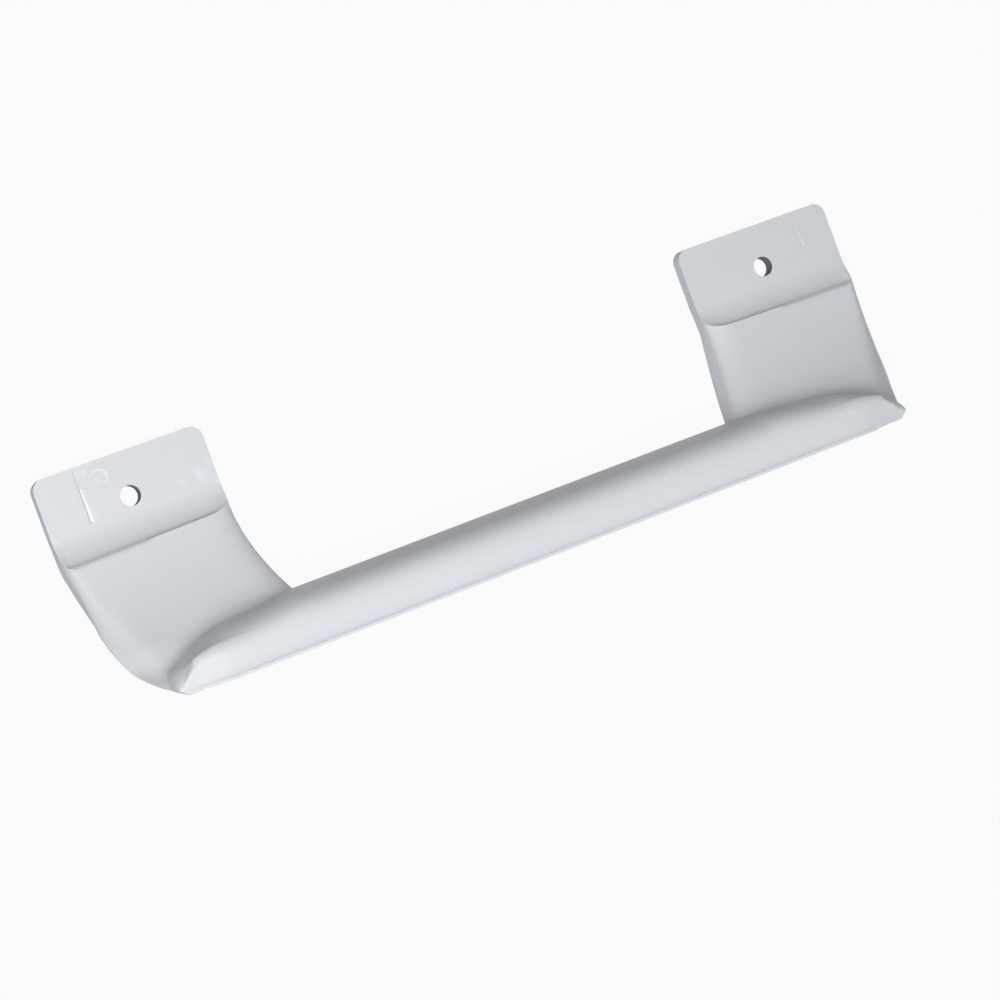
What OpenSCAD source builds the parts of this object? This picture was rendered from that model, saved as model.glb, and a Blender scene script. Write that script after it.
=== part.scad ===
// Door handle moulded as one piece: two screw tabs, two swept legs and a grip bar.
// X runs along the bar, +Y points from the bar to the free edge of the tabs, and +Z
// points out of the faces that bear on the side of the door. The origin lies on
// those faces, midway between the two screw holes.

/* [Screw holes] */
// Distance between the centres of the two screw holes
hole_spacing = 172; // [140:1:240]
// Diameter of each screw hole
hole_d = 5; // [3.5:0.1:6.5]

/* [Tabs] */
// Width of each tab along the bar
tab_w = 42.5; // [30:0.5:60]
// Thickness of each tab
tab_t = 3.8; // [2.5:0.1:6]
// Height of a tab's free edge above the hole centre
tab_top = 10.6; // [7:0.1:18]
// Radius of the two free corners of a tab
tab_corner_r = 3; // [1:0.1:6]

/* [Ridge on the door's front edge] */
// Depth of the ridge below the hole centre
ridge_drop = 11; // [9:0.1:20]
// Height of the ridge above the tab's bearing face
ridge_h = 3.8; // [2:0.1:6]
// Radius of the hollow that clears the rounded edge of the door
ridge_hollow_r = 8.5; // [6.5:0.1:14]
// How much lower the ridge lies at the outer side of a leg than at its inner side
ridge_skew = 0.8; // [0:0.1:1.5]

/* [Legs] */
// How far the lip of the bar lies in front of the ridge
reach = 36.2; // [30:0.1:50]
// Height of the lip above the tab's bearing face
rise = 27.5; // [20:0.1:36]
// How far the outer sweep's ellipse would run on past the lip
outer_past = 2.8; // [1:0.1:8]
// How far the finger side's ellipse would run on past the lip
finger_past = 1.9; // [1:0.1:8]
// Slope of the finger side where it leaves the ridge, in degrees
finger_tilt = 9; // [0:0.5:15]
// How far the outer side of a leg has leant inward at the lip
lean_out = 11.8; // [4:0.1:18]
// Share of that lean that comes in a curve near the lip, the rest being straight
lean_curve = 0.49; // [0:0.01:1]
// How far the inner side of a leg has leant inward at the top of the bar
lean_in = 5; // [0:0.1:9]
// Exponent of the inner side's curve, where 1 is a straight line
lean_in_power = 1.8; // [1:0.1:3]
// How far the outer face stands out past the finger side at a leg's inner side
side_flare = 0.8; // [0:0.1:1.5]

/* [Rounded edges of the legs] */
// Width of the rounding along a leg's inner side, on the finger side
inner_edge_w = 6.5; // [3:0.1:9]
// Height of that rounding
inner_edge_h = 3; // [1.5:0.1:3.6]
// Width of the rounding along a leg's outer side where it meets the lip
outer_edge_w = 5; // [2:0.1:7]
// Height of the outer side's rounding where it meets the lip
outer_edge_h = 1.5; // [0.8:0.1:2.4]
// Width of the outer side's rounding at the ridge
ridge_edge_w = 2; // [1:0.1:7]
// Height of the outer side's rounding at the ridge
ridge_edge_h = 3.4; // [0.8:0.1:3.6]
// Radius of the rounded edges on the outer face
back_edge_r = 1; // [0.4:0.1:1.5]

/* [Grip bar] */
// Height of the bar from its top to its lip, seen square to the tabs
bar_h = 13.9; // [11:0.1:18]
// How far the crest of the bar lies behind the front of the bar
crest_back = 5.4; // [3:0.1:7]
// How far the crest of the bar stands above the lip
crest_up = 1.4; // [0.3:0.1:3]
// Thickness of the lip, seen square to the tabs
lip_t = 0.6; // [0.4:0.1:3]
// Radius of the lip's two corners, seen square to the tabs
lip_corner_r = 1.2; // [0.5:0.1:2.2]
// Width of the groove between the bar and its lip
groove_w = 0.2; // [0.1:0.1:0.8]
// Depth of the groove in the middle of the bar
groove_d = 0.3; // [0.1:0.1:0.8]

/* [Noses of the bar] */
// How far the nose's outline would run on past the outer side of a leg
nose_past = 0.2; // [0.1:0.1:3]
// Exponent of the nose's outline, where a higher one makes a blunter nose
nose_power = 3; // [1.5:0.1:6]
// Share of its height that the nose loses in a gentle taper
nose_taper = 0.36; // [0:0.01:0.4]
// Size of the fillet between the middle of a nose and its leg
nose_fillet = 3; // [1:0.1:4]
// Size of that fillet where it runs out at its two ends
nose_fillet_end = 0.8; // [0.5:0.1:1]

/* [Hidden] */

// Distances s are measured from the ridge towards the lip.
hollow_angle = acos(1 - ridge_h / ridge_hollow_r);
hollow_top = -ridge_drop - hollow_s(0);
tab_inner = (hole_spacing - tab_w) / 2;
tab_outer = (hole_spacing + tab_w) / 2;
bar_half = tab_inner - lean_in;
bar_top = reach - bar_h;
lip_front = reach - lip_t;

// Sides of the tabs' corners and of the holes, and how far a hole is cut past the tab
corner_sides = 48;
hole_sides = 64;
cut_past = 1;

// Steps along and round the surfaces
hollow_steps = 6;
sweep_steps = 18;
fillet_steps = 3;
brow_steps = 11;
chin_steps = 5;
edge_steps = 5;
web_steps = 10;

// Exponents: how sharply the rows turn to the nose, crowd behind the lip and round its
// corners, and how late the nose's taper and the curves along a leg's sides set in
row_turn = 1.6;
back_crowd = 1.7;
corner_turn = 16;
taper_turn = 1.5;
lean_turn = 6;
flare_turn = 3;
edge_turn = 3;
skew_turn = 3;

// How quickly the fillet under a nose sets in along the nose, and the largest share of
// the nose's height that it may take
fillet_onset = 5;
fillet_share = 0.5;

// Row where the nose rises from the leg, and the last row, along the lip
crease_row = hollow_steps + sweep_steps;
foot_row = crease_row + brow_steps + chin_steps;
lip_row = foot_row + 1;
leg_columns = 2 * edge_steps + web_steps + 1;
columns = 2 * leg_columns;

// Drop of an ellipse that starts level, as a share of its height
function ellipse_rise(s, length) = 1 - sqrt(1 - pow(s / length, 2));

// Height of the outer face and of the finger side
outer_len = reach + outer_past;
outer_height = (rise + tab_t) / ellipse_rise(reach, outer_len);
function outer_z(s) = outer_height * ellipse_rise(s, outer_len) - tab_t;

finger_len = lip_front + finger_past;
finger_height = (rise - ridge_h - lip_front * tan(finger_tilt)) / ellipse_rise(lip_front, finger_len);
function finger_z(s) = ridge_h + s * tan(finger_tilt) + finger_height * ellipse_rise(s, finger_len);

// Inner and outer side of a leg, which are straight above the ridge
function along_leg(s, length) = max(0, min(s / length, 1));
function inner_side(s, finger) =
    let (
        p = along_leg(s, bar_top),
        flare = finger ? 0 : side_flare * (1 - pow(1 - p, flare_turn))
    ) tab_inner - lean_in * pow(p, lean_in_power) - flare;
function outer_side(s) =
    let (p = along_leg(s, reach))
    tab_outer - lean_out * ((1 - lean_curve) * p + lean_curve * pow(p, lean_turn));

// Width and height of the outer side's rounding on the finger side
function outer_w(s) = ridge_edge_w + (outer_edge_w - ridge_edge_w) * along_leg(s, reach);
function outer_h(s) =
    outer_edge_h + (ridge_edge_h - outer_edge_h) * pow(1 - along_leg(s, reach), edge_turn);

// Place across a leg of one column, with the rounded edges' columns close together
function edge_share(steps) = 1 - cos(90 * steps / edge_steps);
function across(column, s, finger) =
    let (
        inner = inner_side(s, finger),
        outer = outer_side(s),
        inner_w = finger ? inner_edge_w : back_edge_r,
        outer_w = finger ? outer_w(s) : back_edge_r,
        web = sin(90 * (column - edge_steps) / web_steps)
    ) column <= edge_steps ? inner + inner_w * edge_share(column)
    : column >= edge_steps + web_steps ? outer - outer_w * edge_share(leg_columns - 1 - column)
    : inner + inner_w + (outer - inner - inner_w - outer_w) * web;

// How far a rounded edge of a given width and height falls away at a distance from it
function edge_fall(distance, w, h) = distance >= w ? 0 : h * (1 - sqrt(1 - pow(1 - distance / w, 2)));

// Distance of a place on a leg or the bar from the open space between the legs
function to_gap(x, s, finger) = norm([max(0, x - inner_side(s, finger)), max(0, s - bar_top)]);

// How far the rounded edges lower the finger side and raise the outer face. At the
// two ends of the ridge a little of its height always stays.
ridge_end_h = 0.2;
function finger_fall(x, s) =
    min(ridge_h - ridge_end_h,
        edge_fall(to_gap(x, s, true), inner_edge_w, inner_edge_h)
        + edge_fall(outer_side(s) - x, outer_w(s), outer_h(s)));
function back_fall(x, s) =
    edge_fall(min(to_gap(x, s, false), outer_side(s) - x), back_edge_r, back_edge_r);

// Place of a column along its nose, from 0 at the bar to 1 at the nose's end, and the
// size of the nose there as a share of the bar's section
nose_end = outer_side(reach) + nose_past;
function nose_along(column) = max(0, across(column, reach, true) - bar_half) / (nose_end - bar_half);
function nose_share(column) =
    let (along = nose_along(column))
    (1 - nose_taper * pow(along, taper_turn)) * sqrt(1 - pow(along, nose_power));

// Size of the fillet between nose and leg in a column, and how much of it is there
function fillet_size(column) =
    nose_fillet_end + (nose_fillet - nose_fillet_end) * sin(180 * min(1, nose_along(column)));
function fillet_weight(column) = min(1, fillet_onset * nose_along(column));

// A point at a distance from the ridge, lowered towards the leg's outer side by the
// ridge's skew and drawn back where the lip's corner is rounded
function skew_at(x, weight) = ridge_skew * weight * (x - hole_spacing / 2) / tab_w;
function corner_cut(x, s) =
    edge_fall(outer_side(s) - x, lip_corner_r, lip_corner_r) * pow(along_leg(s, reach), corner_turn);
function place(x, s, z, weight) = [x, corner_cut(x, s) - ridge_drop - s - skew_at(x, weight), z];

// Arc of the hollow up to the ridge in a column, where the rounded edges cut it short
function hollow_end(column) =
    acos(1 - (ridge_h - finger_fall(across(column, 0, true), 0)) / ridge_hollow_r);
function hollow_s(angle) = ridge_hollow_r * (sin(angle) - sin(hollow_angle));

// Points of the hollow, on the finger side and on the outer face
function hollow_point(row, column, finger) =
    let (
        share = row / hollow_steps,
        angle = (finger ? hollow_end(column) : hollow_angle) * share,
        x = across(column, 0, finger),
        z = finger ? ridge_hollow_r * (1 - cos(angle)) : back_fall(x, 0) * share - tab_t
    ) place(x, hollow_s(angle), z, share);

// Distance from the ridge of a row of the swept wall that ends at the nose
function wall_s(row, column, start, end) =
    let (
        size = fillet_size(column),
        rows_left = crease_row - row,
        t = (row - hollow_steps) / (sweep_steps - fillet_steps)
    ) rows_left <= fillet_steps ? end - size * rows_left / fillet_steps
    : start + (bar_top - size - start) * t + (end - bar_top) * pow(t, row_turn);

// Points of the swept wall between the ridge and the nose
function wall_point(row, column, finger) =
    let (
        front = finger ? lip_front : reach,
        start = finger ? hollow_s(hollow_end(column)) : 0,
        s = wall_s(row, column, start, front - nose_share(column) * (front - bar_top)),
        ahead = max(0, s),
        x = across(column, s, finger),
        z = finger ? finger_z(ahead) - finger_fall(x, ahead) : outer_z(s) + back_fall(x, s)
    ) place(x, s, z, pow(1 - along_leg(s, bar_top), skew_turn));

// Points of the bar and its noses, from the wall over the crest to the groove and lip
function brow_angle(row, column, height) =
    let (
        steps = row - crease_row,
        bend = asin(min(fillet_share, fillet_size(column) / height))
    ) steps <= fillet_steps ? bend * steps / fillet_steps
    : bend + (90 - bend) * (steps - fillet_steps) / (brow_steps - fillet_steps);

function bar_point(row, column) =
    let (
        start = wall_point(crease_row, column, true),
        start_s = lip_front - nose_share(column) * (lip_front - bar_top),
        foot = [lip_front - groove_w, rise - groove_d * nose_share(column)],
        crest = [lip_front - crest_back, rise + crest_up],
        top = foot + nose_share(column) * (crest - foot),
        brow = brow_angle(row, column, top[1] - start[2]),
        chin = 90 * (row - crease_row - brow_steps) / chin_steps,
        p = row > foot_row ? [lip_front, rise]
            : row <= crease_row + brow_steps
            ? [top[0] + (start_s - top[0]) * cos(brow), start[2] + (top[1] - start[2]) * sin(brow)]
            : [top[0] + (foot[0] - top[0]) * sin(chin), foot[1] + (top[1] - foot[1]) * cos(chin)]
    ) place(across(column, p[0], true), p[0], p[1], 0);

// Points of the finger side, with the fillet bent round the crease under the nose
function plain_point(row, column) =
    row <= crease_row ? wall_point(row, column, true) : bar_point(row, column);
function finger_point(row, column) =
    let (
        steps = row - crease_row,
        plain = plain_point(row, column),
        u = (steps + fillet_steps) / (2 * fillet_steps),
        bent = abs(steps) >= fillet_steps ? plain
            : pow(1 - u, 2) * plain_point(crease_row - fillet_steps, column)
            + 2 * u * (1 - u) * plain_point(crease_row, column)
            + pow(u, 2) * plain_point(crease_row + fillet_steps, column)
    ) plain + fillet_weight(column) * (bent - plain);

// Points of the outer face behind the bar
function shell_point(row, column) =
    let (
        share = pow((row - crease_row) / (lip_row - crease_row), back_crowd),
        s = reach - (reach - bar_top) * nose_share(column) * (1 - share),
        x = across(column, s, false)
    ) place(x, s, outer_z(s) + back_fall(x, s) * (1 - share), 0);

function skin_point(row, column, finger) =
    row < hollow_steps ? hollow_point(row, column, finger)
    : finger ? finger_point(row, column)
    : row <= crease_row ? wall_point(row, column, false)
    : shell_point(row, column);

// The same point over the whole width, with the left leg as the mirror of the right
function grid_point(row, i, finger) =
    i < leg_columns
    ? let (p = skin_point(row, leg_columns - 1 - i, finger)) [-p[0], p[1], p[2]]
    : skin_point(row, i - leg_columns, finger);

// Index of a point, and the faces between two rows and two columns
outer_first = (lip_row + 1) * columns;
function cell(a, b, c, d) = [[a, b, c], [a, c, d]];
function edge_wall(a, b) = cell(b, a, a + outer_first, b + outer_first);

skin_faces = [for (row = [0:lip_row - 1], i = [0:columns - 2])
    if (row >= crease_row || i != leg_columns - 1)
        let (a = row * columns + i, b = a + columns, h = outer_first)
        each concat(cell(a, a + 1, b + 1, b), cell(a + h, b + h, b + 1 + h, a + 1 + h))];
end_faces = [for (i = [0:columns - 2])
    each concat(
        i != leg_columns - 1 ? edge_wall(i, i + 1)
            : edge_wall(crease_row * columns + i, crease_row * columns + i + 1),
        edge_wall(lip_row * columns + i + 1, lip_row * columns + i)
    )];
side_faces = [for (row = [0:lip_row - 1])
    let (a = row * columns, b = a + columns, mid = leg_columns - 1)
    each concat(
        edge_wall(a + columns - 1, b + columns - 1),
        edge_wall(b, a),
        row < crease_row ? edge_wall(a + mid, b + mid) : [],
        row < crease_row ? edge_wall(b + mid + 1, a + mid + 1) : []
    )];

module legs_and_bar() {
    polyhedron(
        points = [for (finger = [true, false], row = [0:lip_row], i = [0:columns - 1])
            grid_point(row, i, finger)],
        faces = concat(skin_faces, end_faces, side_faces),
        convexity = 6
    );
}

module tab() {
    translate([hole_spacing / 2, 0, -tab_t]) {
        translate([-tab_w / 2, hollow_top, 0])
            cube([tab_w, tab_top - tab_corner_r - hollow_top, tab_t]);
        translate([tab_corner_r - tab_w / 2, hollow_top, 0])
            cube([tab_w - 2 * tab_corner_r, tab_top - hollow_top, tab_t]);
        for (side = [-1, 1])
            translate([side * (tab_w / 2 - tab_corner_r), tab_top - tab_corner_r, 0])
                cylinder(h = tab_t, r = tab_corner_r, $fn = corner_sides);
    }
}

module screw_hole() {
    translate([hole_spacing / 2, 0, -tab_t - cut_past])
        cylinder(h = tab_t + 2 * cut_past, d = hole_d, $fn = hole_sides);
}

module handle() {
    color("aliceblue")
        difference() {
            union() {
                tab();
                mirror([1, 0, 0]) tab();
                legs_and_bar();
            }
            screw_hole();
            mirror([1, 0, 0]) screw_hole();
        }
}

handle();
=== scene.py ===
# %% [markdown]
# A refrigerator door handle moulded in one shot of light cool-grey plastic.
# Two flat tabs are screwed to the side of the door. From each tab a wide leg sweeps
# forward like a quarter pipe, and a grip bar with tapered noses joins the two legs.
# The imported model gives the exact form, so this script finishes its surface and
# adds the small marks that the mould leaves.

# %% Load the frame
from collections import namedtuple
from math import pi, radians

import bpy
from mathutils import Matrix, Vector


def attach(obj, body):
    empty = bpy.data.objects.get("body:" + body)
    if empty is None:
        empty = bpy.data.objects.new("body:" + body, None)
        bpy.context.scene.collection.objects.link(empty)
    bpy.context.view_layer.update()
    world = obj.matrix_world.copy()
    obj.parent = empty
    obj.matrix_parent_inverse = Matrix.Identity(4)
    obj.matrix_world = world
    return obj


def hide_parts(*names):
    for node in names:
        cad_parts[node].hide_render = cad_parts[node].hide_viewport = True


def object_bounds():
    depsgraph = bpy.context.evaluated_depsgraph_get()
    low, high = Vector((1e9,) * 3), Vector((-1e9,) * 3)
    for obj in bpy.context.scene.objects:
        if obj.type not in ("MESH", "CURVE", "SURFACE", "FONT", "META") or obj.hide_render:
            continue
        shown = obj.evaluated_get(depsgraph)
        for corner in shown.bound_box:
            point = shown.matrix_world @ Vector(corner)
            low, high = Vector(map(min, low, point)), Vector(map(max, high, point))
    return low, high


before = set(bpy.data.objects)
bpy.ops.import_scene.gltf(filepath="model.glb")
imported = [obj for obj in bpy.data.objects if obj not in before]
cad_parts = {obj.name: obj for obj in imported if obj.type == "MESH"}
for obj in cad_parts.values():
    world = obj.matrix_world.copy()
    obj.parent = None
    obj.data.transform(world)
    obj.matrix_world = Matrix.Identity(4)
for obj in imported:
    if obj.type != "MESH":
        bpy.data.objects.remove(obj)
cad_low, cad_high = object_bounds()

MM = 0.001
print("CAD box in mm:", [round(v / MM, 1) for v in (*cad_low, *cad_high)])

# %% [markdown]
# The photograph is taken from the side that faces the door, a little from the left.
# Its perspective was worked out from the two screw holes and the tabs' corners, which
# gives a place and a direction for the camera. A long lens keeps the bar's two ends
# close to the same size.

# %% Camera
CAMERA_PLACE = Vector((-239.3, -9.0, 692.6)) * MM
CAMERA_RIGHT = Vector((0.8842, -0.3444, 0.3154))
CAMERA_UP = Vector((0.3352, 0.9383, 0.0849))
CAMERA_LENS = 108.91
CAMERA_NEAR, CAMERA_FAR = 0.01, 20

lens = bpy.data.cameras.new("camera")
lens.lens = CAMERA_LENS
lens.clip_start = CAMERA_NEAR
lens.clip_end = CAMERA_FAR
camera = bpy.data.objects.new("camera", lens)
bpy.context.scene.collection.objects.link(camera)
back_axis = CAMERA_RIGHT.cross(CAMERA_UP).normalized()
up_axis = back_axis.cross(CAMERA_RIGHT).normalized()
right_axis = up_axis.cross(back_axis)
camera.matrix_world = (
    Matrix.Translation(CAMERA_PLACE)
    @ Matrix((right_axis, up_axis, back_axis)).transposed().to_4x4()
)
bpy.context.scene.camera = camera
print("Camera looks along", [round(-v, 3) for v in back_axis])

# %% [markdown]
# Every operator works on what is selected, so each step first clears the selection.
# Small helpers do that, pick the active piece and apply a modifier to it.


# %% Helpers for selecting
def clear_selection():
    if bpy.context.object and bpy.context.object.mode != "OBJECT":
        bpy.ops.object.mode_set(mode="OBJECT")
    bpy.ops.object.select_all(action="DESELECT")


def pick(piece):
    clear_selection()
    piece.select_set(True)
    bpy.context.view_layer.objects.active = piece


def apply_modifier(piece, kind, **settings):
    pick(piece)
    modifier = piece.modifiers.new(kind.lower(), kind)
    for name, value in settings.items():
        setattr(modifier, name, value)
    bpy.ops.object.modifier_apply(modifier=modifier.name)
    print("Applied", kind, "and have", len(piece.data.polygons), "faces")


# %% [markdown]
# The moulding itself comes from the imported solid. Its surfaces are strips of flat
# facets, so a copy is welded, its triangles are paired into quads, and a subdivision
# surface turns the strips into smooth curves. Edges that are sharp on the real part,
# such as the ridge, the outline of a tab and the rim of a hole, are creased first, so
# they stay where they are.

# %% Welded copy of the moulding
WELD_DISTANCE = 0.002 * MM
SHARP_ANGLE = radians(42)
PAIR_ANGLE = radians(40)

cad_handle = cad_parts["handle"]
pick(cad_handle)
bpy.ops.object.duplicate()
moulding = bpy.context.object
moulding.name = "handle_moulding"
moulding.parent = None
bpy.ops.object.mode_set(mode="EDIT")
bpy.ops.mesh.select_all(action="SELECT")
bpy.ops.mesh.remove_doubles(threshold=WELD_DISTANCE)
bpy.ops.mesh.customdata_custom_splitnormals_clear()
bpy.ops.mesh.tris_convert_to_quads(face_threshold=PAIR_ANGLE, shape_threshold=pi)
bpy.ops.mesh.select_all(action="DESELECT")
bpy.ops.mesh.select_mode(type="EDGE")
bpy.ops.mesh.edges_select_sharp(sharpness=SHARP_ANGLE)
bpy.ops.transform.edge_crease(value=1)
bpy.ops.object.mode_set(mode="OBJECT")
print("Welded mesh:", len(moulding.data.vertices), "points,", len(moulding.data.polygons), "faces")

# %% [markdown]
# Several forms are shaped by a rule that says where each point goes, in millimetres.
# A rule usually fades in and out over a few millimetres, so that it leaves no step.


# %% Helpers for moving points by a rule
LEAST_MOVE = 0.001


def eased(low, high, value):
    """0 up to low, 1 from high on, and a soft S between them."""
    share = min(max((value - low) / (high - low), 0), 1)
    return share * share * (3 - 2 * share)


def move_points(piece, rule):
    moved = 0
    for vertex in piece.data.vertices:
        before = vertex.co / MM
        after = Vector(rule(*before))
        moved += (after - before).length > LEAST_MOVE
        vertex.co = after * MM
    print(rule.__name__, "moved", moved, "points")


# %% [markdown]
# Below each tab a hollow clears the rounded edge of the door. On the real part it
# runs down gently and ends in a small steep wall under the ridge, which draws a crisp
# dark line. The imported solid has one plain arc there, so the rows of points between
# the tab and the ridge are moved: the arc gets a larger radius, and its last row
# slides up to the ridge.

# %% Hollow with a steep wall under the ridge
HOLLOW_TOP = -3.92
HOLLOW_RADIUS = 8.5
GENTLE_RADIUS = 10.6
# The new form fades in and out over these distances from the middle of the handle.
HOLLOW_INNER = 65.5, 69
HOLLOW_OUTER = 105.3, 106.5
# Points at or below the face of the tab are not in the hollow.
FACE_LEVEL = 0.02
WALL_WIDTH = 0.4
# The row that slides lies between these distances above the ridge.
RIDGE_ROW, LAST_ROW = 0.5, 1.1
LEG_INNER = 71.25
RIDGE_AT_INNER_SIDE = -10.72
RIDGE_SLOPE = -0.0188


def ridge_place(across):
    return RIDGE_AT_INNER_SIDE + RIDGE_SLOPE * (across - LEG_INNER)


def arc_depth(radius, run):
    return radius - (radius * radius - run * run) ** 0.5


def reshape_hollow(x, y, z):
    above_ridge = y - ridge_place(abs(x))
    share = eased(*HOLLOW_INNER, abs(x)) * (1 - eased(*HOLLOW_OUTER, abs(x)))
    if z < FACE_LEVEL or above_ridge < RIDGE_ROW or y > HOLLOW_TOP or share == 0:
        return x, y, z
    plain_depth = arc_depth(HOLLOW_RADIUS, HOLLOW_TOP - y)
    if above_ridge < LAST_ROW:
        y -= share * (above_ridge - WALL_WIDTH)
    flatter = arc_depth(GENTLE_RADIUS, HOLLOW_TOP - y) / plain_depth
    return x, y, z * (1 - share + share * flatter)


move_points(moulding, reshape_hollow)

# %% [markdown]
# Two levels of subdivision split each four-sided face in sixteen and round it between
# its creased edges. The modifier is applied at once, because the next rules need the
# fine mesh.

# %% Smooth surfaces
SMOOTH_LEVELS = 2

apply_modifier(moulding, "SUBSURF", levels=SMOOTH_LEVELS, render_levels=SMOOTH_LEVELS)

# %% [markdown]
# A leg is a curved wall that narrows toward the bar. Two short formulas follow the
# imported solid: where its outer side lies, and how high the middle of the wall is. With
# them a rule can keep to the finger side and leave the back alone.

# %% Form of a leg
RIDGE_Y = -11
OUTER_SIDE, OUTER_CURVE = 106.9, 0.0093
MIDDLE_FROM, MIDDLE_LOWEST, MIDDLE_CURVE = -13, 0.4, 0.0197


def outer_side(y):
    return OUTER_SIDE - OUTER_CURVE * (RIDGE_Y - y) ** 2


def middle_height(y):
    return MIDDLE_LOWEST + MIDDLE_CURVE * (MIDDLE_FROM - y) ** 2


print("Outer side of a leg at its ridge:", outer_side(RIDGE_Y), "mm from the middle")

# %% [markdown]
# Toward the bar the outer edge of each leg is well rounded: the finger side falls away
# over the last few millimetres, more and more as it comes near the bar. The points
# there sink a little and move outward, most at the edge itself.

# %% Rounder outer edges near the bar
FALL_WIDTH = 6.5
FALL_DEPTH = 3.4
FALL_POWER = 2.6
FALL_OUTWARD = 0.34
FALL_FROM, FALL_FULL, FALL_LAST = -15, -34, -44
FALL_BELOW_NOSE = 15, 22
FALL_ABOVE_MIDDLE = -1.5, 2.5


def round_outer_edge(x, y, z):
    share = eased(-FALL_FROM, -FALL_FULL, -y) * (1 - eased(*FALL_BELOW_NOSE, z))
    share *= eased(*FALL_ABOVE_MIDDLE, z - middle_height(y))
    inward = outer_side(y) - abs(x)
    if share == 0 or inward > FALL_WIDTH or y > FALL_FROM or y < FALL_LAST:
        return x, y, z
    fall = FALL_DEPTH * share * (1 - max(inward, 0) / FALL_WIDTH) ** FALL_POWER
    outward = FALL_OUTWARD * fall * (1 if x > 0 else -1)
    return x + outward, y, z - fall


move_points(moulding, round_outer_edge)

# %% [markdown]
# The grip bar is a D in section: from its crest near the lip it curves down to its top
# edge on the leg. Along a nose the section shrinks, slowly at first and then to
# nothing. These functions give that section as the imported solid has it.

# %% Section of the bar and its noses
BAR_HALF, NOSE_END = 59.75, 95.65
NOSE_TAPER, TAPER_POWER, END_POWER = 0.36, 1.5, 3
LIP_Y, LIP_Z = -46.6, 27.5
BAR_WIDTH = 13.3
CREST_SETBACK, CREST_SHARE = 0.2, 5.2
CREST_RISE, CREST_SWELL = 1.1, 0.3
RIDGE_HEIGHT, LEG_LEAN = 3.8, 0.158
SWEEP_RUN, SWEEP_RISE = 37.5, 26.34

Section = namedtuple("Section", "size top_y top_z crest_y crest_z")


def leg_height(y):
    past = RIDGE_Y - y
    return RIDGE_HEIGHT + LEG_LEAN * past + SWEEP_RISE * (1 - (1 - min(past / SWEEP_RUN, 1) ** 2) ** 0.5)


def nose_section(x):
    along = min(max(abs(x) - BAR_HALF, 0) / (NOSE_END - BAR_HALF), 1)
    size = (1 - NOSE_TAPER * along ** TAPER_POWER) * (1 - along ** END_POWER) ** 0.5
    top_y = LIP_Y + BAR_WIDTH * size
    crest_y = LIP_Y + CREST_SETBACK + CREST_SHARE * size
    crest_z = LIP_Z + CREST_RISE * size + CREST_SWELL * size ** 2
    return Section(size, top_y, leg_height(top_y), crest_y, crest_z)


half_way = (BAR_HALF + NOSE_END) / 2
print("Half-way out a nose the bar has", round(nose_section(half_way).size, 2), "of its size")

# %% [markdown]
# In the photograph the shoulder of the bar is fuller than a plain ellipse: its bright
# face stays broad, and then the bar turns down quickly to the legs. Each point of the
# shoulder is pushed away from the middle of its ellipse, most of all half-way round.
# The noses are also made a little wider where they rise from the leg.

# %% Fuller shoulder on the bar and its noses
FULLNESS = 2.8
SMALLEST_NOSE = 0.15
SHOULDER_FROM, SHOULDER_TO = 0.7, 1.4
NOSE_WIDER = 1.7
WIDER_ALONG = 74, 90


def fill_shoulder(x, y, z):
    nose = nose_section(x)
    if nose.size < SMALLEST_NOSE or y < nose.crest_y or z < nose.top_z:
        return x, y, z
    along = (y - nose.crest_y) / (nose.top_y - nose.crest_y)
    up = (z - nose.top_z) / (nose.crest_z - nose.top_z)
    radius = (along * along + up * up) ** 0.5
    if not SHOULDER_FROM < radius < SHOULDER_TO:
        return x, y, z
    push = ((along / radius) ** FULLNESS + (up / radius) ** FULLNESS) ** (-1 / FULLNESS)
    wider = NOSE_WIDER * eased(*WIDER_ALONG, abs(x)) * along
    fuller_y = nose.crest_y + (y - nose.crest_y) * push + wider
    return x, fuller_y, nose.top_z + (z - nose.top_z) * push


move_points(moulding, fill_shoulder)

# %% [markdown]
# Some places only need to be softer. There the points are selected by a rule, and the
# Smooth operator moves each of them toward the middle of its neighbours, many times.


# %% Helper for smoothing chosen points
SMOOTH_FACTOR = 0.5


def soften(piece, chosen, passes):
    pick(piece)
    bpy.ops.object.mode_set(mode="EDIT")
    bpy.ops.mesh.select_mode(type="VERT")
    bpy.ops.mesh.select_all(action="DESELECT")
    bpy.ops.object.mode_set(mode="OBJECT")
    for vertex in piece.data.vertices:
        vertex.select = chosen(*(vertex.co / MM))
    bpy.ops.object.mode_set(mode="EDIT")
    bpy.ops.mesh.vertices_smooth(factor=SMOOTH_FACTOR, repeat=passes)
    bpy.ops.object.mode_set(mode="OBJECT")
    print("Softened", sum(vertex.select for vertex in piece.data.vertices), "points")


# %% [markdown]
# Where a nose of the bar runs out on its leg, the real part has a crisp corner only by
# the inner side. Further out the corner melts into a soft valley, so the points on
# both sides of it are smoothed, and a second time nearer the tip.

# %% Soft valley under each nose
VALLEY_NOSE = 0.2
VALLEY_INWARD = 2
VALLEY_ABOVE_MIDDLE, VALLEY_BELOW_CREST = 1, 1
VALLEY_LEG_EXTRA = 1
VALLEY_ROUNDS = [
    {"reach": 3, "nose_from": 76, "passes": 50},
    {"reach": 2.5, "nose_from": 82, "passes": 70},
]


def near_valley(reach, nose_from):
    def chosen(x, y, z):
        nose = nose_section(x)
        along_leg = nose.top_y - reach < y < nose.top_y + VALLEY_LEG_EXTRA + reach
        on_nose = abs(x) > nose_from and nose.size > VALLEY_NOSE
        inside = outer_side(y) - abs(x) > VALLEY_INWARD
        finger_side = z - middle_height(y) > VALLEY_ABOVE_MIDDLE
        return along_leg and on_nose and inside and finger_side and z < nose.crest_z - VALLEY_BELOW_CREST
    return chosen


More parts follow.
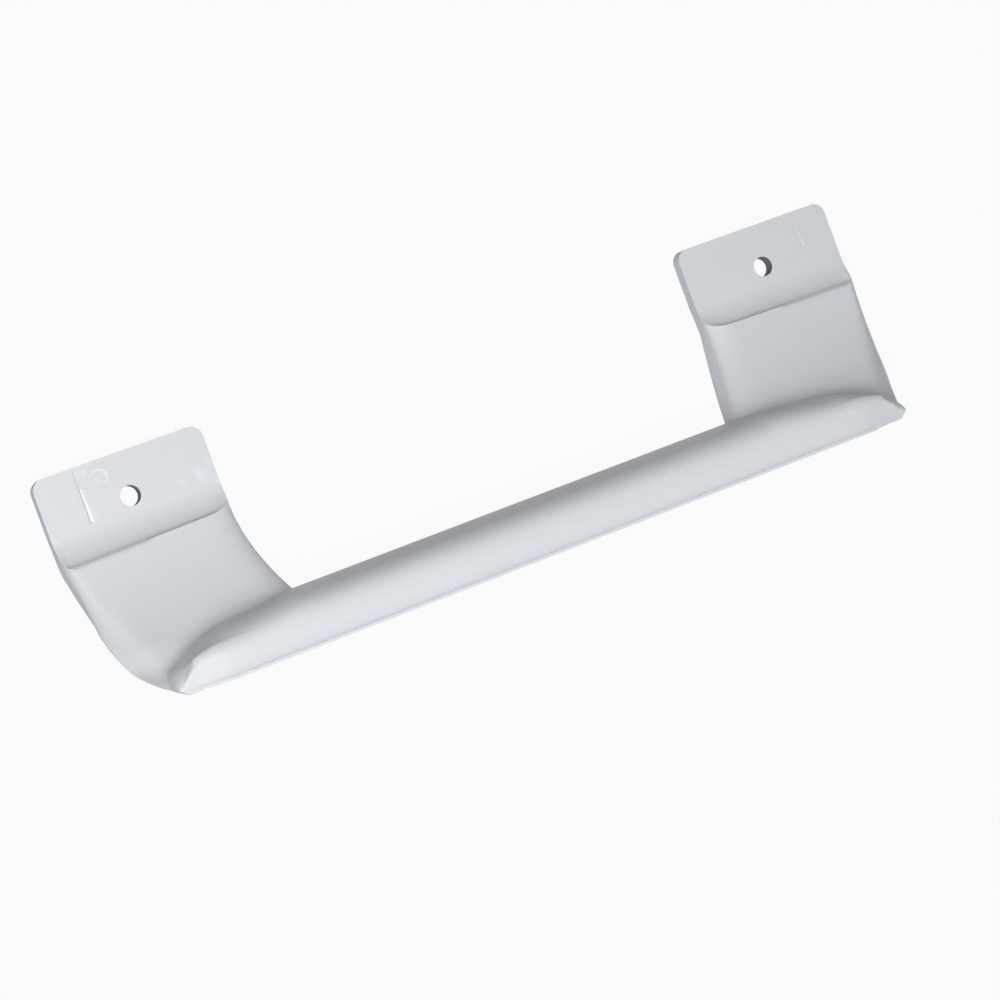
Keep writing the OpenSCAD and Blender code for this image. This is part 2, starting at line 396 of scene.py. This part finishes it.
for valley in VALLEY_ROUNDS:
    soften(moulding, near_valley(valley["reach"], valley["nose_from"]), valley["passes"])

# %% [markdown]
# The tips of the noses hang a little toward the door, so both faces of the wall are
# lowered there by the same amount. Then the ends are smoothed, because the photograph
# shows no sharp edge there.

# %% Lower tips
TIP_DROP = 1.6
DROP_ALONG = 83, 96
DROP_TO_LIP = 33, 44


def drop_tip(x, y, z):
    return x, y, z - TIP_DROP * eased(*DROP_ALONG, abs(x)) * eased(*DROP_TO_LIP, -y)


move_points(moulding, drop_tip)

# %% Soft ends of the noses
END_ROUNDS = [
    {"out_from": 87, "y_below": -38, "z_above": 20, "passes": 12},
    {"out_from": 90, "y_below": -40, "z_above": 22, "passes": 16},
]


def near_end(out_from, y_below, z_above):
    return lambda x, y, z: abs(x) > out_from and y < y_below and z > z_above


for end in END_ROUNDS:
    soften(moulding, near_end(end["out_from"], end["y_below"], end["z_above"]), end["passes"])

# %% [markdown]
# The finish is satin plastic straight from the mould: a cool grey with slow, slight
# changes of shade, and a fine texture that softens the highlights.
# Shader maths reads better as arithmetic, so a small class wraps a socket and turns
# plus, minus and times into Math nodes. Its node method makes any other node.


# %% Shader arithmetic
class Wire:
    def __init__(self, tree, socket=None):
        self.tree = tree
        self.socket = socket

    def node(self, kind, settings=None, **inputs):
        """A new node: first its settings, then its sockets by name, or by number as i0, i1."""
        made = self.tree.nodes.new(kind)
        for name, value in (settings or {}).items():
            setattr(made, name, value)
        for name, value in inputs.items():
            by_number = name[0] == "i" and name[1:].isdigit()
            target = made.inputs[int(name[1:]) if by_number else name.replace("_", " ")]
            if isinstance(value, Wire):
                self.tree.links.new(value.socket, target)
            else:
                target.default_value = value
        return made

    def math(self, operation, first, second):
        made = self.node("ShaderNodeMath", {"operation": operation}, i0=first, i1=second)
        return Wire(self.tree, made.outputs[0])

    def __add__(self, other):
        return self.math("ADD", self, other)

    def __sub__(self, other):
        return self.math("SUBTRACT", self, other)

    def __rsub__(self, other):
        return self.math("SUBTRACT", other, self)

    def __mul__(self, other):
        return self.math("MULTIPLY", self, other)

    __radd__ = __add__
    __rmul__ = __mul__


# %% [markdown]
# Two kinds of node come up again and again: a noise, read as a number, and a mix of
# two colours by such a number.


# %% Noise and mixed colours
def noise(place, scale, detail, roughness):
    made = place.node("ShaderNodeTexNoise", Vector=place, Scale=scale, Detail=detail, Roughness=roughness)
    return Wire(place.tree, made.outputs["Fac"])


def mix_colours(share, first, second):
    made = share.node("ShaderNodeMix", {"data_type": "RGBA"}, i0=share, i6=first, i7=second)
    return Wire(share.tree, made.outputs[2])


# %% [markdown]
# A few pale patches show on the left tab: partly rub marks, and partly painted
# highlights along its edges. Each one is strongest in its middle and fades out at its
# radius, and a noise breaks them up.

# %% Mask of the rub marks and painted highlights
# The place and the radius of each mark, in millimetres.
RUB_AND_HIGHLIGHT_MARKS = [
    (-73.1, -1.2, 1.4), (-68.6, -0.2, 2.3), (-68.2, -1.6, 1.8), (-65.6, 1.2, 1.3),
    (-65.1, -3.5, 1.3), (-106.4, -4.1, 1.4), (-95.4, 9.1, 2.1), (-91.9, 6.3, 2.6),
]
PATCH_SCALE, PATCH_DETAIL, PATCH_ROUGHNESS = 700.0, 3.0, 0.5
PATCH_CONTRAST, PATCH_CUT = 1.6, 0.25


def rub_and_highlight_mask(place):
    rubbed_and_lit = 0
    for x, y, radius in RUB_AND_HIGHLIGHT_MARKS:
        gap = place.node("ShaderNodeVectorMath", {"operation": "DISTANCE"}, i0=place,
                         i1=Vector((x, y, 0)) * MM)
        near = 1 - Wire(place.tree, gap.outputs["Value"]) * (1 / (radius * MM))
        rubbed_and_lit = rubbed_and_lit + near.math("MAXIMUM", near, 0)
    patches = noise(place, PATCH_SCALE, PATCH_DETAIL, PATCH_ROUGHNESS)
    return rubbed_and_lit * (PATCH_CONTRAST * patches - PATCH_CUT)


print("Rub marks:", len(RUB_AND_HIGHLIGHT_MARKS))

# %% [markdown]
# Three finishes come from one recipe. The plastic itself is satin. In the mould marks
# the skin is polished, and its paler colour is a painted highlight. The walls of the
# screw holes get a dark, dull grey: painted shade inside the holes.

# %% Recipe for the plastic
FLOW_SCALE, FLOW_DETAIL, FLOW_ROUGHNESS = 22.0, 3.0, 0.55
GRAIN_SCALE, GRAIN_DETAIL, GRAIN_ROUGHNESS = 2600.0, 2.0, 0.6
GRAIN_DULLS = 0.05
GRAIN_STRENGTH, GRAIN_DEPTH = 0.25, 0.02 * MM
# Pale colour of the rub marks and of the painted highlights along the tab's edges.
RUB_AND_HIGHLIGHT_COLOUR, RUB_AND_HIGHLIGHT_SHARE = (0.86, 0.88, 0.92, 1), 0.7
PLASTIC_IOR = 1.5


def moulded_plastic(name, shade, pale, dull, dull_spread):
    material = bpy.data.materials.new(name)
    material.use_nodes = True
    tree = material.node_tree
    shader = tree.nodes["Principled BSDF"]
    place = Wire(tree, tree.nodes.new("ShaderNodeTexCoord").outputs["Object"])
    flow = noise(place, FLOW_SCALE, FLOW_DETAIL, FLOW_ROUGHNESS)
    grain = noise(place, GRAIN_SCALE, GRAIN_DETAIL, GRAIN_ROUGHNESS)
    # The pale patches are mixed into the colour. They are partly rub marks and partly painted highlights.
    colour = mix_colours(RUB_AND_HIGHLIGHT_SHARE * rub_and_highlight_mask(place), mix_colours(flow, shade, pale), RUB_AND_HIGHLIGHT_COLOUR)
    roughness = dull + dull_spread * flow + GRAIN_DULLS * grain
    bump = place.node("ShaderNodeBump", Height=grain, Strength=GRAIN_STRENGTH, Distance=GRAIN_DEPTH)
    tree.links.new(colour.socket, shader.inputs["Base Color"])
    tree.links.new(roughness.socket, shader.inputs["Roughness"])
    tree.links.new(bump.outputs["Normal"], shader.inputs["Normal"])
    shader.inputs["IOR"].default_value = PLASTIC_IOR
    print("Made", name, "with", len(tree.nodes), "nodes")
    return material


# %% Satin plastic, paler mould marks with painted highlight, and painted shade for the holes
satin = moulded_plastic(
    "satin_plastic",
    shade=(0.690, 0.725, 0.765, 1), pale=(0.725, 0.757, 0.795, 1), dull=0.42, dull_spread=0.10
)
# Paler colour for the mould marks: a painted highlight where their walls catch the light.
pressed_painted_highlight = moulded_plastic(
    "pressed_plastic_painted_highlight",
    shade=(0.79, 0.815, 0.85, 1), pale=(0.84, 0.86, 0.89, 1), dull=0.30, dull_spread=0.08
)
# Dark grey for the walls of the screw holes: painted shade inside the holes.
hole_painted_shade = moulded_plastic(
    "hole_wall_painted_shade",
    shade=(0.16, 0.17, 0.18, 1), pale=(0.26, 0.27, 0.29, 1), dull=0.70, dull_spread=0.10
)
moulding.data.materials.clear()
for finish in (satin, pressed_painted_highlight, hole_painted_shade):
    moulding.data.materials.append(finish)
cad_handle.data.materials.clear()
cad_handle.data.materials.append(satin)

# %% [markdown]
# Small marks, like those that a mould leaves, show on the tabs. By the left tab's outer
# side runs a fine slit, and beside it a dent with one steep and one gentle side, whose
# polished skin is painted paler: a painted highlight. A few shorter ticks lie near by and on the right
# tab.
# They are fractions of a millimetre deep, so each one is cut with a small wedge, like
# the tip of a blade: a cone with three sides gives a wedge, and its six points are then
# put in place.

# %% Wedge shaped like the tip of a blade
WEDGE_PROUD = 0.02


def blade(name, start, end, steep, gentle, depth, start_share):
    """A wedge along the tab's face: its steep side is on the left, its start is smaller."""
    start, end = Vector((*start, 0)), Vector((*end, 0))
    run = end - start
    bpy.ops.mesh.primitive_cone_add(vertices=3, radius1=1, radius2=start_share, depth=run.length * MM)
    tool = bpy.context.object
    tool.name = name
    side = run.normalized().cross(Vector((0, 0, 1)))
    side = side if side.x > 0 else -side
    corners = [(-steep, WEDGE_PROUD), (gentle, WEDGE_PROUD), (0, -depth)]
    for number, vertex in enumerate(tool.data.vertices):
        at_end = number % 2 == 0
        offset, height = corners[number // 2]
        share = 1 if at_end else start_share
        spot = (end if at_end else start) + side * offset * share
        vertex.co = Vector((spot.x, spot.y, height if height > 0 else height * share)) * MM
    return tool


# %% [markdown]
# Moving the points can turn a wedge inside out, and the cut needs faces that point
# outwards, so each wedge has its normals made consistent. A mark takes the finish of
# the tool that cut it: the narrow slit stays satin, and the others get the paler finish with its painted
# highlight.


# %% Wedges for the blade marks
def face_outwards(tool):
    pick(tool)
    bpy.ops.object.mode_set(mode="EDIT")
    bpy.ops.mesh.select_all(action="SELECT")
    bpy.ops.mesh.normals_make_consistent(inside=False)
    bpy.ops.object.mode_set(mode="OBJECT")


# Name, start and end, width of the steep and the gentle side, depth, and share of the
# size at the start. Lengths are in millimetres.
BLADE_MARKS = [
    ("slit_left", (-97.0, 9.7), (-97.0, -2.9), 0.08, 0.05, 0.30, 0.8),
    ("dent_left", (-96.72, 5.1), (-96.72, -2.7), 0.06, 0.72, 0.16, 0.6),
    ("tick_left", (-94.6, 9.1), (-94.65, 8.0), 0.10, 0.20, 0.06, 0.7),
    ("dent_foot", (-98.9, -2.75), (-97.4, -2.9), 0.12, 0.15, 0.12, 0.8),
    ("dent_right", (98.2, 7.2), (98.5, 1.4), 0.10, 0.28, 0.06, 0.5),
    ("scuff_outer", (-99.05, 5.5), (-99.15, 2.0), 0.12, 0.16, 0.05, 0.6),
]
tools = [blade(*mark) for mark in BLADE_MARKS]
for tool in tools:
    face_outwards(tool)
    tool.data.materials.append(satin if tool.name == "slit_left" else pressed_painted_highlight)
    print("Tool", tool.name)

# %% [markdown]
# Next to the slit is a shallow round mark, deeper on one side, like that of a pin which
# pushes the part out of its mould. Its tool is a blunt cone that is tilted a little
# about two axes: its floor leaves satin plastic, and its sloping wall a bright crescent in the paler
# finish, a painted highlight.

# %% Tool for the ejector pin mark
PIN_PLACE = Vector((-91.85, 6.15, 0))
PIN_SIDES = 96
PIN_FLOOR_RADIUS, PIN_TOP_RADIUS = 1.9, 3.1
PIN_DEPTH, PIN_HEIGHT = 0.08, 0.38
PIN_TILTS = {"X": radians(1.9), "Y": radians(-2.3)}
PIN_FLAT = 0.97

bpy.ops.mesh.primitive_cone_add(
    vertices=PIN_SIDES, radius1=PIN_FLOOR_RADIUS * MM, radius2=PIN_TOP_RADIUS * MM, depth=PIN_HEIGHT * MM,
    location=(PIN_PLACE + Vector((0, 0, PIN_HEIGHT / 2 - PIN_DEPTH))) * MM
)
pin_tool = bpy.context.object
pin_tool.name = "pin_mark"
bpy.ops.object.mode_set(mode="EDIT")
bpy.ops.mesh.select_all(action="SELECT")
for axis, tilt in PIN_TILTS.items():
    bpy.ops.transform.rotate(value=tilt, orient_axis=axis, center_override=PIN_PLACE * MM)
bpy.ops.object.mode_set(mode="OBJECT")
bpy.ops.object.transform_apply(location=True, rotation=True, scale=True)
pin_tool.data.materials.append(satin)
pin_tool.data.materials.append(pressed_painted_highlight)
# The sloping wall takes the paler finish: a painted highlight.
for face in pin_tool.data.polygons:
    face.material_index = 0 if abs(face.normal.z) > PIN_FLAT else 1
tools.append(pin_tool)
print("Lowest point of the pin tool:", round(min(v.co.z for v in pin_tool.data.vertices) / MM, 3), "mm")

# %% [markdown]
# All tools are joined and cut away at once by one boolean, which hands their finishes
# on to the faces they leave. The tools are removed afterwards.

# %% Cut the marks
clear_selection()
for tool in tools:
    tool.select_set(True)
bpy.context.view_layer.objects.active = tools[0]
bpy.ops.object.join()
marks = bpy.context.object
apply_modifier(moulding, "BOOLEAN", operation="DIFFERENCE", solver="EXACT",
               material_mode="TRANSFER", object=marks)
bpy.data.objects.remove(marks)

# %% [markdown]
# The walls of the screw holes are found by their place, close to a hole's axis, and by
# their normal, which points across it. They get the dark grey finish: painted shade inside the holes.

# %% Painted shade in the screw holes
HOLE_PLACE, HOLE_RADIUS = 86, 2.5
HOLE_MARGIN = 0.1
WALL_TURN = 0.5

# The hole walls take the dark finish, which is painted shade.
painted_shade_slot = list(moulding.data.materials).index(hole_painted_shade)
painted_shade_faces = 0
for face in moulding.data.polygons:
    off_axis = Vector((abs(face.center.x) / MM - HOLE_PLACE, face.center.y / MM)).length
    if off_axis < HOLE_RADIUS + HOLE_MARGIN and abs(face.normal.z) < WALL_TURN:
        face.material_index = painted_shade_slot
        painted_shade_faces += 1
print("Painted_shade_on", painted_shade_faces, "faces")

# %% [markdown]
# The cut leaves long thin faces on the flat tabs, and plain smooth shading smears over
# them. Weighted Normal lets the large faces decide, so that the tabs look flat again.
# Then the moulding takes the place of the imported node.

# %% Smooth shading and hand-over of the piece
SHADING_ANGLE = radians(35)

pick(moulding)
bpy.ops.object.shade_smooth_by_angle(angle=SHADING_ANGLE)
apply_modifier(moulding, "WEIGHTED_NORMAL", keep_sharp=True)

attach(moulding, "root")
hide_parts("handle")

# %% [markdown]
# The part lies on a plain white table. What the camera sees of the table is white
# through Light Path, with a trace of its diffuse shading kept, so that the object's
# shadow stays. Gloss sees the same white.

# %% Table
TABLE_HALF = 1.5
TABLE_GREY = (0.4, 0.4, 0.4, 1)
SHADOW_SHARE = 0.06
WHITE = (1, 1, 1, 1)


def table_white():
    material = bpy.data.materials.new("table_white")
    material.use_nodes = True
    tree = material.node_tree
    tree.nodes.clear()
    start = Wire(tree)
    path = start.node("ShaderNodeLightPath")
    camera_ray = Wire(tree, path.outputs["Is Camera Ray"])
    glossy_ray = Wire(tree, path.outputs["Is Glossy Ray"])
    seen = start.math("MAXIMUM", camera_ray, glossy_ray)
    diffuse = Wire(tree, start.node("ShaderNodeBsdfDiffuse", Color=TABLE_GREY).outputs[0])
    white = Wire(tree, start.node("ShaderNodeEmission", Color=WHITE, Strength=1.0).outputs[0])
    mix = start.node("ShaderNodeMixShader", i0=seen * (1 - SHADOW_SHARE), i1=diffuse, i2=white)
    start.node("ShaderNodeOutputMaterial", Surface=Wire(tree, mix.outputs[0]))
    return material


clear_selection()
bpy.ops.mesh.primitive_plane_add(size=2 * TABLE_HALF, location=(0, 0, cad_low.z))
table = bpy.context.object
table.name = "table"
table.data.materials.append(table_white())
print("Table at z =", round(cad_low.z / MM, 1), "mm")

# %% [markdown]
# Soft studio light: one large lamp close behind the camera and a little below it, a
# weak one past the grip bar, and an even pale world. Faces that look at the camera
# come out about as bright as their colour is written, and faces that look away from
# the lamps fall into soft shade.

# %% Lamps and world
WORLD_STRENGTH = 0.19


def soft_lamp(name, place, size, power):
    """A square lamp that looks at the middle of the handle."""
    data = bpy.data.lights.new(name, "AREA")
    data.shape = "SQUARE"
    data.size = size
    data.energy = power
    lamp = bpy.data.objects.new(name, data)
    bpy.context.scene.collection.objects.link(lamp)
    lamp.location = place
    lamp.rotation_mode = "QUATERNION"
    lamp.rotation_quaternion = (-Vector(place)).to_track_quat("-Z", "Y")
    print("Lamp", name, "of", power, "W")


soft_lamp("key", place=(-0.27, -0.15, 0.80), size=0.45, power=6.1)
soft_lamp("fill", place=(-0.15, -0.75, 0.50), size=0.4, power=0.2)

world = bpy.data.worlds.new("world")
bpy.context.scene.world = world
world.use_nodes = True
background = world.node_tree.nodes["Background"]
background.inputs["Color"].default_value = WHITE
background.inputs["Strength"].default_value = WORLD_STRENGTH
bpy.context.scene.view_settings.view_transform = "Standard"
